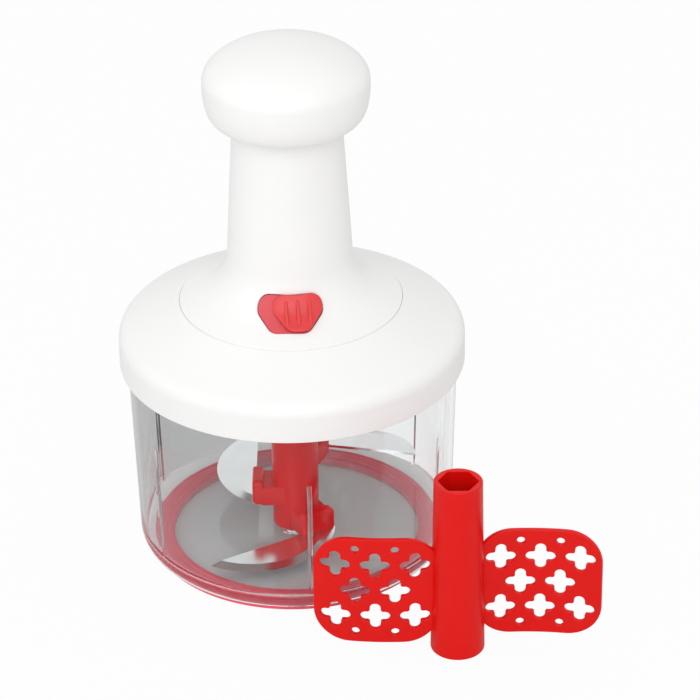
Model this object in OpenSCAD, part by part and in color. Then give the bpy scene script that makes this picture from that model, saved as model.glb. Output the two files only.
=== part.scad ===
// Hand-press food chopper: clear bowl with half-moon blades, a white lid with a flared tower and a
// mushroom knob whose stroke turns a twisted spindle, and a red mixing paddle that stands beside it.
// Millimetres. The origin is on the bowl's axis at table level, +Z is up and the lock faces -Y.

/* [Bowl] */
// Outer radius of the bowl at its rim
bowl_r = 67.35; // [64:0.05:70]
// Height of the bowl's rim above the table
bowl_h = 96; // [90:0.5:104]
// Draft of the bowl's wall in degrees
bowl_draft = 1.7; // [0.8:0.1:2.5]
// Thickness of the bowl's wall
bowl_wall = 2; // [1.6:0.1:2.6]
// Thickness of the bowl's floor
floor_t = 2.4; // [1.8:0.1:3.2]
// Radius of the bowl's outer lower corner
bowl_corner = 8.5; // [6:0.5:10]
// Radius of the upright ribs inside the bowl
rib_r = 1.1; // [0.8:0.1:1.4]
// Height of the ribs' tops above the table
rib_top = 61.5; // [50:0.5:70]
// Angle of the front rib in degrees
rib_turn = -84; // [-90:0.5:-75]
// Angle from the front rib to its left neighbour in degrees
rib_pair = 63; // [55:0.5:65]

/* [Base ring] */
// How far the non-slip ring lies inside the foot of the bowl's wall
ring_inset = 4.5; // [4:0.1:6]
// Width of the non-slip ring
ring_w = 8.9; // [8:0.1:10.5]
// Height of the non-slip ring
ring_h = 3.2; // [2.6:0.1:4]
// How far the ring stands below the bowl
ring_proud = 0.6; // [0.4:0.1:1]

/* [Blades] */
// Radius of the blade stem
stem_r = 9.6; // [9.2:0.1:10.2]
// Length of the blade stem
stem_h = 76.5; // [72:0.5:80]
// Height of the lower blade above the table
blade_lower_z = 8.3; // [7.8:0.1:9]
// Height of the middle blade above the table
blade_middle_z = 19; // [18:0.5:21]
// Height of the upper blade above the table
blade_upper_z = 31; // [30:0.5:34]
// Upward tilt of the upper blade in degrees
blade_tilt = 11; // [6:0.5:12]
// Thickness of a blade
blade_t = 1.2; // [0.8:0.1:1.6]
// Radius of a blade's cutting edge
blade_r = 33.5; // [31:0.5:35]
// How far the edge's centre lies along the blade from the stem's axis
blade_lead = 20; // [17:0.5:21]
// Distance of a blade's straight back from the stem's axis
blade_off = 16.6; // [15.6:0.1:17.4]
// Width of the ground bevel
blade_bevel = 4; // [2:0.5:6]
// Radius of the pivot pin
pin_r = 2.5; // [2:0.1:3]
// Height of the pivot pin above the floor
pin_h = 16; // [12:1:20]

/* [Lid] */
// Thickness of the lid's walls
lid_wall = 2.4; // [2:0.1:2.8]
// How far the lid's skirt reaches below the bowl's rim
lid_skirt = 11.3; // [9:0.1:13]
// Height above the bowl's rim at which the lid's slope meets its side
lid_brow = 3.55; // [3.3:0.05:5]
// Slope of the lid's top in degrees
lid_slope = 26.3; // [24:0.1:28]
// Radius of the lid's rounded rim
lid_edge = 7; // [5:0.5:8]
// Depth of the plug wall inside the bowl's mouth
plug_h = 8; // [7:0.5:10]

/* [Tower] */
// Radius of the tower's foot
tower_r = 45; // [43:0.2:47]
// Slope of the tower's foot in degrees
tower_slope = 26; // [24:0.5:30]
// Radius of the flare between the foot and the column
tower_flare = 20; // [17:1:24]
// Thickness of the tower's wall
tower_wall = 2.4; // [2:0.1:2.6]
// Outer radius of the column under the knob
col_r = 21.7; // [21:0.1:23]
// Taper of the column in degrees
col_taper = 3.4; // [2.8:0.1:3.8]
// Height of the column's visible top above the tower's foot
col_h = 79.3; // [76:0.1:84]

/* [Knob] */
// Radius of the knob
knob_r = 33; // [30:0.1:36]
// Height of the knob's dome above its widest line
knob_dome = 15.5; // [13:0.5:20]
// Height of the knob's side below its widest line
knob_side = 16.5; // [13:0.1:18]
// Gap between the column and the knob's lower lip
lip_gap = 1.3; // [0.8:0.1:2.5]
// Thickness of the knob's wall
knob_wall = 2.2; // [1.8:0.1:2.6]
// Stroke of the knob
stroke = 45; // [38:1:45]
// Advance of the twisted spindle in one turn
lead = 30; // [26:1:36]

/* [Lock] */
// Width of the lock's window
lock_w = 26.5; // [24:0.5:28]
// Height of the lock's window along the slope
lock_h = 16; // [14:0.5:17]
// Travel of the lock slider
lock_travel = 6.7; // [5:0.1:7.5]
// Height of the slider above the tower's face
lock_pad = 1.6; // [1.2:0.1:2]
// Radius of the window's lower edge on the tower's foot
lock_foot = 37.6; // [36.6:0.2:38.6]

/* [Paddle] */
// Distance of the paddle's axis to the right of the bowl's axis
paddle_x = 64.5; // [60:0.1:80]
// Distance of the paddle's axis in front of the bowl's axis
paddle_y = 86.7; // [84:0.1:100]
// Turn of the paddle in degrees
paddle_turn = -1.8; // [-10:0.2:10]
// Height of the paddle's tube
paddle_h = 76.9; // [72:0.1:82]
// Radius of the tube at its top
paddle_r_top = 9.6; // [9.2:0.1:10.2]
// Radius of the tube at its foot
paddle_r_foot = 10.75; // [10.3:0.05:11.5]
// Reach of a wing from the tube's axis
wing_reach = 56.6; // [52:0.2:60]
// Height of a wing
wing_h = 48; // [44:0.5:50]
// Height of the wings' middle above the table
wing_z = 28.6; // [26:0.1:32]
// Thickness of a wing
wing_t = 2.2; // [1.6:0.1:3]
// Bow of a wing
wing_bow = 3.9; // [3:0.1:7]

/* [Drive socket] */
// Width across the flats of the drive shaft
shaft_af = 13.6; // [12:0.1:14]
// How deep the drive shaft reaches into the stem
shaft_reach = 22; // [16:1:26]

/* [Hidden] */
$fn = 96;
small_fn = 24;

WHITE = [0.94, 0.94, 0.94];
RED = [0.8, 0.03, 0.05];
CLEAR = [0.85, 0.88, 0.9, 0.35];
STEEL = [0.72, 0.73, 0.74];
PALE = [0.82, 0.83, 0.82];
BRONZE = [0.75, 0.62, 0.35];

// Clearances
fit = 0.05; // running and seated fits
gap = 0.3; // faces that pass each other
seat = 0.2; // faces that rest on each other
room = 1; // space past the end of a screw, pin or sliding piece
over = 1; // how far a cut runs past a face

// Bowl, base ring and pin
rib_pairs = 3;
ring_r_out = bowl_at(0) - ring_inset;
ring_r_in = ring_r_out - ring_w;
floor_z = ring_h + floor_t;
pin_wall = 4.5;
pin_foot_z = ring_proud + 0.8;
pin_top = floor_z + pin_h;

// Blades and the arms that hold them
stem_z = floor_z + seat;
stem_top = stem_z + stem_h;
blade_z = [blade_lower_z, blade_middle_z, blade_upper_z];
blade_lean = [0, 0, blade_tilt];
blade_turn = [120, 0, -120];
arm_out = blade_off + 1.2;
arm_t = 4.6;
arm_front = -8.5;
arm_back = 6.5;
arm_drop = 1.5;
arm_rise = 10;
web_drop = 2.6;
tang = 2.5;
tang_inset = 1.5;
tang_w = arm_back - arm_front - 2 * tang_inset;

// Lid, from the bowl's rim up
skirt_gap = 0.45;
skirt_in = bowl_r + skirt_gap;
lid_r = skirt_in + lid_wall;
skirt_z = bowl_h - lid_skirt;
rim_z = bowl_h + seat;
tower_z = bowl_h + lid_brow + (lid_r - tower_r) * tan(lid_slope);
flange_t = lid_wall;
tower_seat_depth = 2.4;
flange_top = tower_z - tower_seat_depth;
plate_top = flange_top - flange_t;
plate_t = 2.4;
plate_z = plate_top - plate_t;
groove_w = 0.4;
groove_d = 0.5;

// Plug wall and its seal
plug_wall = 2;
seal_gap = 1.6;
plug_z = bowl_h - plug_h;
plug_r = bowl_at(plug_z) - bowl_wall - seal_gap;
plug_in = plug_r - plug_wall;
seal_h = 3;
seal_d = 1;
seal_z = plug_z + 2;
seal_lip = 0.5;

// Drive train
screw_r = 1.5;
head_r = 2.7;
head_h = 1.8;
corner_r = shaft_af / 2 / cos(30);
socket_af = shaft_af + 2 * seat;
socket_room = 2;
bush_bore = corner_r + 0.25;
bush_t = 2.4;
bush_r = bush_bore + bush_t;
bush_flange = 1.2;
bush_lip = 2;
hub_wall = 2.2;
hub_drop = 8.6;
hub_z = plate_z - hub_drop;
cup_floor_z = plate_top + bush_flange + seat;
cup_floor_t = 2;
cup_h = 7;
cup_r = 17.4;
cup_wall = 1.6;
tooth_h = 1.2;
tooth_count = 18;
cup_z = cup_floor_z + cup_floor_t;
cup_top = cup_z + cup_h;
rod_r = 5.2;
rod_flat = 0.62; // flat share of the twisted rod's sides
rod_room = 0.6;
collar_r = 7.4;
collar_h = 1.6;
collar_z = cup_top + seat;
spindle_stub = 6;
washer_t = 0.8;
washer_r = collar_r + 2;
washer_z = collar_z + collar_h + seat;
cover_under = washer_z + washer_t + seat;
cover_t = 2.4;
cover_top = cover_under + cover_t;
cover_in = cup_r + 2 * gap;
cover_r = cover_in + cover_t;
lug_r = 3.2;
lug_at = cover_r + 1.4;
lug_top = cup_top;
lug_skin = 1.5;

// Plunger and spring
col_wall = 1.8;
bush_wall = 2;
col_bore = col_r - col_wall;
plunger_r = col_bore - bush_wall;
plunger_wall = 2.2;
plunger_in = plunger_r - plunger_wall;
plunger_z = cover_top + seat;
flange_r = plunger_r + 1.3;
flange_h = 3.5;
ledge = 1.6;
key_w = 3;
key_d = 1;
spring_h = 22;
spring_wire = 0.8;
spring_at = (rod_r + plunger_in) / 2;
spring_turns = 8;
spring_steps = 16;
spring_sides = 6;
spring_last = spring_turns * spring_steps;
spring_rise = (spring_h - 2 * spring_wire - 2 * seat) / spring_turns;
nut_z = cover_top + spring_h;
nut_h = 8;

// Column and knob
lip_z = tower_z + col_h;
col_top = lip_z + 3.8;
guide_z = plunger_z + flange_h + stroke + seat;
knob_z = lip_z + knob_side;
knob_lip = col_r + lip_gap + knob_wall;
knob_square = 2.6; // power of the superellipse of the knob's side
carrier_z = col_top + room;
carrier_t = 3;
carrier_top = carrier_z + carrier_t;
carrier_step = 1;
carrier_r = col_r + lip_gap - gap;
knob_screw_at = (plunger_r + carrier_r) / 2;
knob_head = (carrier_r - plunger_r) / 2 - gap;
knob_screw_count = 3;
knob_thread = 7;
pillar_r = 2.6;
spindle_top = nut_z + nut_h + stroke + 2;

// Lines of the tower's outer face: the foot's cone and the column, each as normal . point = distance
cone_n = [sin(tower_slope), cos(tower_slope)];
cone_d = cone_n * [tower_r, tower_z];
col_n = [cos(col_taper), sin(col_taper)];
col_d = col_n * [col_r, lip_z];
tower_base_w = 4.4;
tower_lead_in = 0.4;

// Tower screws
boss_r = 3.5;
boss_at = 33;
boss_turn = 45;
boss_count = 4;
boss_skin = 2;
boss_drop = 0.4;
boss_top = cone_z(boss_at + boss_r) - boss_drop;
lid_hole_room = 3;
lid_hole = boss_at + boss_r + lid_hole_room;
plate_lap = 7;
plate_r = lid_hole + plate_lap;

// Lock
lock_lean = tower_slope + 21;
lock_at = lock_foot - lock_h / 2 * cos(lock_lean);
lock_z = tower_z + (tower_r - lock_foot) * tan(tower_slope) + lock_h / 2 * sin(lock_lean);
lock_angle = asin(lock_travel / 2 / lock_at);
lock_slider_w = lock_w - lock_travel;
lock_draw = 5.95; // how far the outline draws in from its widest line to its foot
lock_wide = 1.9; // height of the widest line above the lock's middle
lock_in = 1.05; // how far the upper corners draw in
lock_horn = 0.9; // rise of the upper corners, and dip of the top edge between them
lock_dip = 0.6;
lock_round = 4;
lock_wide_round = 6;
lock_base_round = 4.5;
lock_dip_round = 25;
lock_recess = 0.4;
lock_cut = 3 * tower_wall;
lock_rib = 0.5;
lock_rib_w = 1.2;
lock_rib_end = 3;
lock_rib_step = lock_slider_w / 4.4;
lock_rib_h = lock_h - 2 * lock_rib_end;
lock_neck = 3;
lock_neck_up = 2.5;
lock_sink = 0.4;
latch_t = 2;
latch_w = 12;
latch_low = 4;
latch_high = 13;
latch_nose_w = 8;
latch_nose_h = 2.6;
latch_nose_root = 6;

// Pattern of a wing's holes
wing_round = 14;
wing_root = 7;
plus_first = 16.8;
plus_end = 8.55;
plus_last = wing_reach - plus_end;
plus_count = 3;
plus_step = (plus_last - plus_first) / (plus_count - 1);
plus_edge = 12.25;
plus_rise = wing_h / 2 - plus_edge;
plus_reach = 5.9;
plus_half = 2.15;
dot_edge = 4.95;
dot_rise = wing_h / 2 - dot_edge;
dot_r = 1.65;

// A point on a circle, and the points of an arc
function on_circle(c, r, a) = c + r * [cos(a), sin(a)];
function arc(c, r, a0, a1, n = 12) = [for (i = [0:n]) on_circle(c, r, a0 + (a1 - a0) * i / n)];
function unit(v) = v / norm(v);

// Points reversed, to close an outline along its other face
function back(points) = [for (i = [len(points) - 1:-1:0]) points[i]];

// The arc that rounds the corner b between a and c
function corner(a, b, c, r, n = 8) =
    let (u = unit(a - b), w = unit(c - b), half = acos(u * w) / 2)
    let (o = b + unit(u + w) * r / sin(half), p = b + u * r / tan(half), q = b + w * r / tan(half))
    let (a0 = atan2(p[1] - o[1], p[0] - o[0]), a1 = atan2(q[1] - o[1], q[0] - o[0]))
    arc(o, r, a0, a0 + (a1 - a0 + 540) % 360 - 180, n);

// An outline whose corners are rounded, each by its own radius
function rounded(points, radii) =
    let (n = len(points))
    [for (i = [0:n - 1]) each corner(points[(i + n - 1) % n], points[i], points[(i + 1) % n], radii[i])];

// Radius of the bowl's outer face at a height
function bowl_at(z) = bowl_r - (bowl_h - z) * tan(bowl_draft);

// Height of the lid's cone at a radius
function lid_top(r) = tower_z - (r - tower_r) * tan(lid_slope);

// Height of the tower's cone at a radius, depth d inside its face
function cone_z(r, d = 0) = (cone_d - d - cone_n[0] * r) / cone_n[1];

// Radius of the column at a height, depth d inside its face
function col_at(z, d = 0) = (col_d - d - col_n[1] * z) / col_n[0];

// Where the tower's two lines meet, depth d inside its face
function tower_bend(d) =
    let (det = cone_n[0] * col_n[1] - cone_n[1] * col_n[0], p = cone_d - d, q = col_d - d)
    [(p * col_n[1] - cone_n[1] * q) / det, (cone_n[0] * q - col_n[0] * p) / det];

// The tower's face from radius r on its foot up to height z on its column, depth d inside it
function tower_face(d, r, z) = concat(
    [[r, cone_z(r, d)]],
    corner([r, cone_z(r, d)], tower_bend(d), [col_at(z, d), z], tower_flare + d, 12),
    [[col_at(z, d), z]]
);

// The knob's outline from its lip up to the top of its dome, depth d inside its face
function knob_face(d, n = 14) = concat(
    [
        for (i = [0:n - 1])
            let (a = 90 - i * 90 / n, p = 2 / knob_square)
            [
                knob_lip - d + (knob_r - knob_lip) * pow(cos(a), p),
                knob_z - knob_side * pow(sin(a), p)
            ]
    ],
    [for (i = [0:n]) [(knob_r - d) * cos(i * 90 / n), knob_z + (knob_dome - d) * sin(i * 90 / n)]]
);

// Outline of the lock's window or slider: widest above its middle, with a dip in its top edge
function lock_outline(w, grow = 0) =
    let (half = w / 2 + grow, up = lock_h / 2 + grow, top_y = up + lock_horn)
    let (base = half - lock_draw, top = half - lock_in)
    rounded(
        [
            [-base, -up], [base, -up], [half, lock_wide], [top, top_y],
            [0, up - lock_dip], [-top, top_y], [-half, lock_wide]
        ],
        [
            lock_base_round, lock_base_round, lock_wide_round, lock_round,
            lock_dip_round, lock_round, lock_wide_round
        ]
    );

// Outline of one grip rib on the slider
function grip_rib() =
    let (w = lock_rib_w / 2, h = lock_rib_h / 2)
    concat(arc([0, h], w, 0, 180, 6), arc([0, -h], w, 180, 360, 6));

// Centre of the spring's wire at step k, and the ring of points around it
function spring_centre(k) =
    let (a = k * 360 / spring_steps)
    [spring_at * cos(a), spring_at * sin(a), cover_top + seat + spring_wire + spring_rise * k / spring_steps];
function spring_ring(k) = [
    for (s = [0:spring_sides - 1])
        let (a = s * 360 / spring_sides + 30, c = spring_centre(k))
        let (out = unit([c[0], c[1], 0]))
        c + spring_wire * (cos(a) * out + sin(a) * [0, 0, 1])
];

// Least gap between the spring's turns
spring_gap = min([
    for (k = [0:spring_last - spring_steps])
        norm(spring_centre(k + spring_steps) - spring_centre(k)) - 2 * spring_wire
]);
echo(spring_gap = spring_gap);

// Outline of a wing seen square on, with its inner end inside the tube
function wing_outline() =
    let (low = wing_z - wing_h / 2, high = wing_z + wing_h / 2, r = wing_round)
    rounded([[wing_root, low], [wing_reach, low], [wing_reach, high], [wing_root, high]], [r, r, r, r]);

module revolve(points) {
    rotate_extrude()
        polygon(points);
}

module ring(r_in, r_out, z0, z1) {
    revolve([[r_in, z0], [r_out, z0], [r_out, z1], [r_in, z1]]);
}

module hex(af, z0, z1) {
    translate([0, 0, z0])
        cylinder(h = z1 - z0, r = af / 2 / cos(30), $fn = 6);
}

module rod(r, z0, z1) {
    translate([0, 0, z0])
        cylinder(h = z1 - z0, r = r);
}

module around(count, turn = 0) {
    for (i = [0:count - 1])
        rotate([0, 0, turn + i * 360 / count])
            children();
}

// A screw with its head down: the head's face bears at z = 0 and the shank points up
module screw(length, head = head_r) {
    slot_w = 0.8;
    slot_l = 1.2 * head;
    difference() {
        union() {
            rod(head, -head_h, 0);
            rod(screw_r, 0, length);
        }
        for (a = [0, 90])
            rotate([0, 0, a])
                translate([-slot_l / 2, -slot_w / 2, -head_h - over])
                    cube([slot_l, slot_w, over + head_h / 2]);
    }
}

module bowl() {
    foot_z = ring_proud;
    side_z = foot_z + bowl_corner;
    inner_corner = bowl_corner - bowl_wall;
    inner_side_z = floor_z + inner_corner;
    outer = concat(
        [[0, foot_z]],
        arc([bowl_at(side_z) - bowl_corner, side_z], bowl_corner, -90, 0),
        [[bowl_r, bowl_h], [0, bowl_h]]
    );
    inner = concat(
        [[0, floor_z]],
        arc([bowl_at(inner_side_z) - bowl_wall - inner_corner, inner_side_z], inner_corner, -90, 0),
        [[bowl_at(bowl_h + over) - bowl_wall, bowl_h + over], [0, bowl_h + over]]
    );
    color(CLEAR)
        difference() {
            union() {
                difference() {
                    revolve(outer);
                    revolve(inner);
                    rod(ring_r_out + fit, foot_z - over, ring_h);
                }
                rod(pin_r + pin_wall, foot_z, ring_h + floor_t / 2);
                for (turn = [rib_turn, rib_turn - rib_pair])
                    around(rib_pairs, turn)
                        wall_rib();
            }
            rod(pin_r + fit / 2, pin_foot_z, floor_z + over);
        }
}

// An upright half-round rib that follows the inside of the bowl's wall, along +X
module wall_rib() {
    z0 = floor_z - floor_t / 2;
    translate([bowl_at(z0) - bowl_wall, 0, z0])
        rotate([0, bowl_draft, 0])
            cylinder(h = rib_top - z0, r = rib_r, $fn = small_fn);
}

module base_ring() {
    bevel = 0.5;
    cut_d = 0.5;
    cut_w = 0.8;
    color(RED)
        difference() {
            revolve([
                [ring_r_in + bevel, 0], [ring_r_out - bevel, 0], [ring_r_out, bevel],
                [ring_r_out, ring_h], [ring_r_in, ring_h], [ring_r_in, bevel]
            ]);
            for (share = [0.25, 0.75])
                translate([0, 0, ring_h - cut_d])
                    ring(ring_r_in + share * ring_w, ring_r_in + share * ring_w + cut_w, 0, cut_d + over);
        }
}

module pivot_pin() {
    tip = 0.8;
    color(STEEL)
        revolve([
            [0, pin_foot_z], [pin_r, pin_foot_z], [pin_r, pin_top - tip], [pin_r - tip, pin_top], [0, pin_top]
        ]);
}

// Places its children in the frame of blade i
module at_blade(i) {
    rotate([0, 0, blade_turn[i]])
        translate([0, arm_front, blade_z[i]])
            rotate([blade_lean[i], 0, 0])
                translate([0, -arm_front, 0])
                    children();
}

// One blade where it sits: a disc with a ground bevel, cut along its straight back, and its tang
module blade(i) {
    edge_t = 0.25;
    at_blade(i) {
        difference() {
            translate([0, blade_lead, 0])
                revolve([
                    [0, 0], [blade_r, 0], [blade_r, edge_t], [blade_r - blade_bevel, blade_t], [0, blade_t]
                ]);
            translate([-blade_off, -blade_r, -over])
                cube([2 * blade_r, 3 * blade_r, blade_t + 2 * over]);
        }
        translate([-blade_off - over, arm_front + tang_inset, 0])
            cube([over + tang, tang_w, blade_t]);
    }
}

// The slot in an arm for a blade's back and tang
module blade_slot(i) {
    slot_t = blade_t + 2 * fit;
    at_blade(i) {
        translate([-arm_out - over, arm_front - over, -fit])
            cube([arm_out - blade_off + over + fit, arm_back - arm_front + 2 * over, slot_t]);
        translate([-blade_off - over, arm_front + tang_inset - fit, -fit])
            cube([over + tang + fit, tang_w + 2 * fit, slot_t]);
    }
}

module blade_stem() {
    round_r = 0.75;
    color(RED)
        difference() {
            union() {
                revolve(concat(
                    [[0, stem_z]],
                    arc([stem_r - round_r, stem_z + round_r], round_r, -90, 0, 5),
                    [[stem_r, stem_top], [0, stem_top]]
                ));
                for (i = [0:2])
                    rotate([0, 0, blade_turn[i]])
                        blade_arm(blade_z[i]);
            }
            hex(socket_af, stem_top - shaft_reach - socket_room, stem_top + over);
            rod(pin_r + fit, stem_z - over, pin_top + room);
            for (i = [0:2])
                blade_slot(i);
        }
}

// An arm at the -X side of the stem: an upright plate along Y and a lower web that carries it
module blade_arm(z) {
    z0 = z - arm_drop;
    translate([-arm_out, arm_front, z0])
        cube([arm_t, arm_back - arm_front, arm_drop + arm_rise]);
    translate([-arm_out + arm_t / 2, arm_front, z0])
        cube([arm_out - arm_t / 2, arm_back - arm_front, arm_drop + arm_rise - web_drop]);
}

module blade_lower() {
    color(STEEL)
        blade(0);
}

module blade_middle() {
    color(STEEL)
        blade(1);
}

module blade_upper() {
    color(STEEL)
        blade(2);
}

module lid() {
    slant = lid_wall / cos(lid_slope);
    under_r = tower_r + (tower_seat_depth + flange_t - slant) / tan(lid_slope);
    edge_r = tower_r + fit;
    color(WHITE)
        revolve(concat(
            [[lid_r, skirt_z]],
            corner([lid_r, skirt_z], [lid_r, lid_top(lid_r)], [edge_r, lid_top(edge_r)], lid_edge),
            [
                [edge_r + groove_w, lid_top(edge_r + groove_w)], [edge_r, lid_top(edge_r) - groove_d],
                [edge_r, flange_top], [lid_hole, flange_top], [lid_hole, plate_top], [under_r, plate_top],
                [plug_in, lid_top(plug_in) - slant], [plug_in, plug_z], [plug_r, plug_z], [plug_r, seal_z],
                [plug_r - seal_d, seal_z], [plug_r - seal_d, seal_z + seal_h], [plug_r, seal_z + seal_h],
                [plug_r, rim_z], [skirt_in, rim_z], [skirt_in, skirt_z]
            ]
        ));
}

module lid_seal() {
    lip_r = bowl_at(seal_z) - bowl_wall - seat;
    color(PALE)
        revolve([
            [plug_r - seal_d, seal_z], [plug_r, seal_z],
            [lip_r, seal_z + seal_lip], [lip_r, seal_z + 2 * seal_lip],
            [plug_r, seal_z + seal_h], [plug_r - seal_d, seal_z + seal_h]
        ]);
}

// The solid between two depths inside the tower's face
module tower_shell(d0, d1) {
    revolve(concat(tower_face(d0, tower_r, lip_z), back(tower_face(d1, tower_r, lip_z))));
}

// An outline on the lock's slope, run through the tower's wall between two depths
module lock_prism(points, z0, z1) {
    translate([0, -lock_at, lock_z])
        rotate([lock_lean, 0, 0])
            translate([0, 0, z0])
                linear_extrude(z1 - z0)
                    polygon(points);
}

// A rectangle on the lock's slope, for lock_prism
function lock_box(w, low, high) = [[-w / 2, low], [w / 2, low], [w / 2, high], [-w / 2, high]];

module tower() {
    base_in = tower_r - tower_base_w;
    foot_r = tower_r - tower_lead_in;
    color(WHITE)
        difference() {
            union() {
                revolve(concat(
                    [[base_in, flange_top], [foot_r, flange_top], [foot_r, tower_z - groove_d]],
                    tower_face(0, tower_r - tower_lead_in / 2, col_top),
                    [[col_bore, col_top], [col_bore, guide_z]],
                    back(tower_face(tower_wall, base_in, guide_z))
                ));
                around(boss_count, boss_turn)
                    translate([boss_at, 0, 0])
                        rod(boss_r, plate_top, boss_top);
            }
            around(boss_count, boss_turn)
                translate([boss_at, 0, 0])
                    rod(screw_r + fit, plate_top - over, boss_top - boss_skin);
            lock_prism(lock_outline(lock_w, fit), -lock_cut, lock_cut);
        }
}

module mechanism_plate() {
    bore = bush_r + fit;
    color(PALE)
        difference() {
            union() {
                rod(plate_r, plate_z, plate_top);
                rod(bore + hub_wall, hub_z, plate_top);
            }
            rod(bore, hub_z - over, plate_top + over);
            around(boss_count, boss_turn)
                translate([boss_at, 0, 0])
                    rod(screw_r + fit, plate_z - over, plate_top + over);
            around(2)
                translate([lug_at, 0, 0])
                    rod(screw_r + fit, plate_z - over, plate_top + over);
        }
}

module plate_screws() {
    color(STEEL)
        around(boss_count, boss_turn)
            translate([boss_at, 0, plate_z])
                screw(boss_top - boss_skin - room - plate_z);
}

module shaft_bush() {
    color(BRONZE)
        revolve([
            [bush_bore, hub_z], [bush_r, hub_z], [bush_r, plate_top], [bush_r + bush_lip, plate_top],
            [bush_r + bush_lip, plate_top + bush_flange], [bush_bore, plate_top + bush_flange]
        ]);
}

module clutch_cover() {
    hole = rod_r + rod_room;
    color(PALE)
        difference() {
            union() {
                revolve([
                    [cover_in, plate_top], [cover_r, plate_top], [cover_r, cover_top], [hole, cover_top],
                    [hole, cover_under], [cover_in, cover_under]
                ]);
                around(2)
                    difference() {
                        translate([lug_at, 0, 0])
                            rod(lug_r, plate_top, lug_top);
                        rod(cover_in, plate_top - over, lug_top + over);
                    }
            }
            around(2)
                translate([lug_at, 0, 0])
                    rod(screw_r + fit, plate_top - over, lug_top - lug_skin);
        }
}

module cover_screws() {
    color(STEEL)
        around(2)
            translate([lug_at, 0, plate_z])
                screw(lug_top - lug_skin - room - plate_z);
}

module guide_bush() {
    color(PALE)
        union() {
            ring(plunger_r + fit, col_bore - fit, guide_z, col_top);
            around(2)
                translate([plunger_r - key_d + 2 * fit, -key_w / 2 + fit, guide_z])
                    cube([key_d + fit, key_w - 2 * fit, col_top - guide_z]);
        }
}

module lock_frame() {
    slot_w = lock_travel + lock_neck + 4 * gap;
    slot_low = lock_neck_up - lock_neck / 2 - 2 * gap;
    slot_high = lock_neck_up + lock_neck / 2 + 2 * gap;
    color(RED)
        difference() {
            intersection() {
                tower_shell(lock_recess, tower_wall);
                lock_prism(lock_outline(lock_w), -lock_cut, lock_cut);
            }
            lock_prism(lock_box(slot_w, slot_low, slot_high), -2 * lock_cut, 2 * lock_cut);
        }
}

// The pad, its three grip ribs and the neck through the frame, each sunk into the pad
module lock_slider() {
    neck_low = lock_neck_up - lock_neck / 2;
    neck_high = lock_neck_up + lock_neck / 2;
    color(RED)
        rotate([0, 0, lock_angle])
            union() {
                intersection() {
                    tower_shell(-lock_pad, -gap);
                    lock_prism(lock_outline(lock_slider_w), -lock_cut, lock_cut + lock_pad);
                }
                intersection() {
                    tower_shell(-lock_pad - lock_rib, lock_sink - lock_pad);
                    for (x = [-1, 0, 1])
                        translate([x * lock_rib_step, 0, 0])
                            lock_prism(grip_rib(), -lock_cut, lock_cut + lock_pad);
                }
                intersection() {
                    tower_shell(-gap - lock_sink, tower_wall + gap);
                    lock_prism(lock_box(lock_neck, neck_low, neck_high), -2 * lock_cut, 2 * lock_cut);
                }
            }
}

module lock_latch() {
    d0 = tower_wall + gap;
    nose_z = plunger_z + flange_h + gap;
    nose_top = nose_z + latch_nose_h;
    nose_r = flange_r + gap + 2 * fit;
    root_r = col_at(nose_z, d0) + latch_nose_root;
    color(PALE)
        rotate([0, 0, lock_angle])
            union() {
                intersection() {
                    tower_shell(d0, d0 + latch_t);
                    lock_prism(lock_box(latch_w, -latch_low, latch_high), -2 * lock_cut, lock_cut);
                }
                intersection() {
                    ring(nose_r, root_r, nose_z, nose_top);
                    revolve(concat([[0, tower_z]], tower_face(d0, tower_r - latch_t, lip_z), [[0, lip_z]]));
                    translate([-latch_nose_w / 2, -tower_r, nose_z - over])
                        cube([latch_nose_w, tower_r, latch_nose_h + 2 * over]);
                }
            }
}

// The spring's wire as one tube along a helix
module return_spring() {
    n = spring_sides;
    end_at = spring_last * n;
    points = [for (k = [0:spring_last]) each spring_ring(k)];
    sides = [
        for (k = [0:spring_last - 1], s = [0:n - 1], half = [0, 1])
            let (a = k * n + s, b = k * n + (s + 1) % n)
            half == 0 ? [a, a + n, b] : [b, a + n, b + n]
    ];
    start = [for (s = [1:n - 2]) [0, s, s + 1]];
    end = [for (s = [1:n - 2]) [end_at, end_at + s + 1, end_at + s]];
    color(STEEL)
        polyhedron(points, concat(start, sides, end));
}

module drive_shaft() {
    root = cup_r - cup_wall;
    color(PALE)
        difference() {
            union() {
                hex(shaft_af, stem_top - shaft_reach, hub_z);
                rod(bush_bore - fit, hub_z - over, cup_z);
                rod(cup_r, cup_floor_z, cup_top);
            }
            translate([0, 0, cup_z])
                linear_extrude(cup_h + over)
                    polygon([
                        for (i = [0:tooth_count - 1], step = [0, 1])
                            on_circle([0, 0], root - step * tooth_h, i * 360 / tooth_count)
                    ]);
        }
}

// Clutch hub: two springy arms, each half of an off-centre ring from the hub out to the cup's teeth
module pawl_hub() {
    hub_r = 7;
    arm_w = 1.6;
    tip_r = cup_r - cup_wall - tooth_h - gap;
    shift = (tip_r - hub_r) / 2;
    arm_r = tip_r - shift;
    z0 = cup_z + seat;
    h = cup_h - 2 * seat;
    stub = spindle_stub + 2 * fit;
    color(WHITE)
        difference() {
            union() {
                rod(hub_r, z0, z0 + h);
                around(2)
                    intersection() {
                        translate([shift, 0, 0])
                            ring(arm_r - arm_w, arm_r, z0, z0 + h);
                        translate([-tip_r, 0, z0 - over])
                            cube([2 * tip_r, tip_r, h + 2 * over]);
                    }
            }
            translate([-stub / 2, -stub / 2, z0 - over])
                cube([stub, stub, h + 2 * over]);
        }
}

// Section of the twisted rod: a square with cut corners, grown for the nut's hole
module rod_section(grow = 0) {
    a = rod_r / norm([1, rod_flat]) + grow;
    b = a * rod_flat;
    polygon([[a, -b], [a, b], [b, a], [-b, a], [-a, b], [-a, -b], [-b, -a], [b, -a]]);
}

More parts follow.
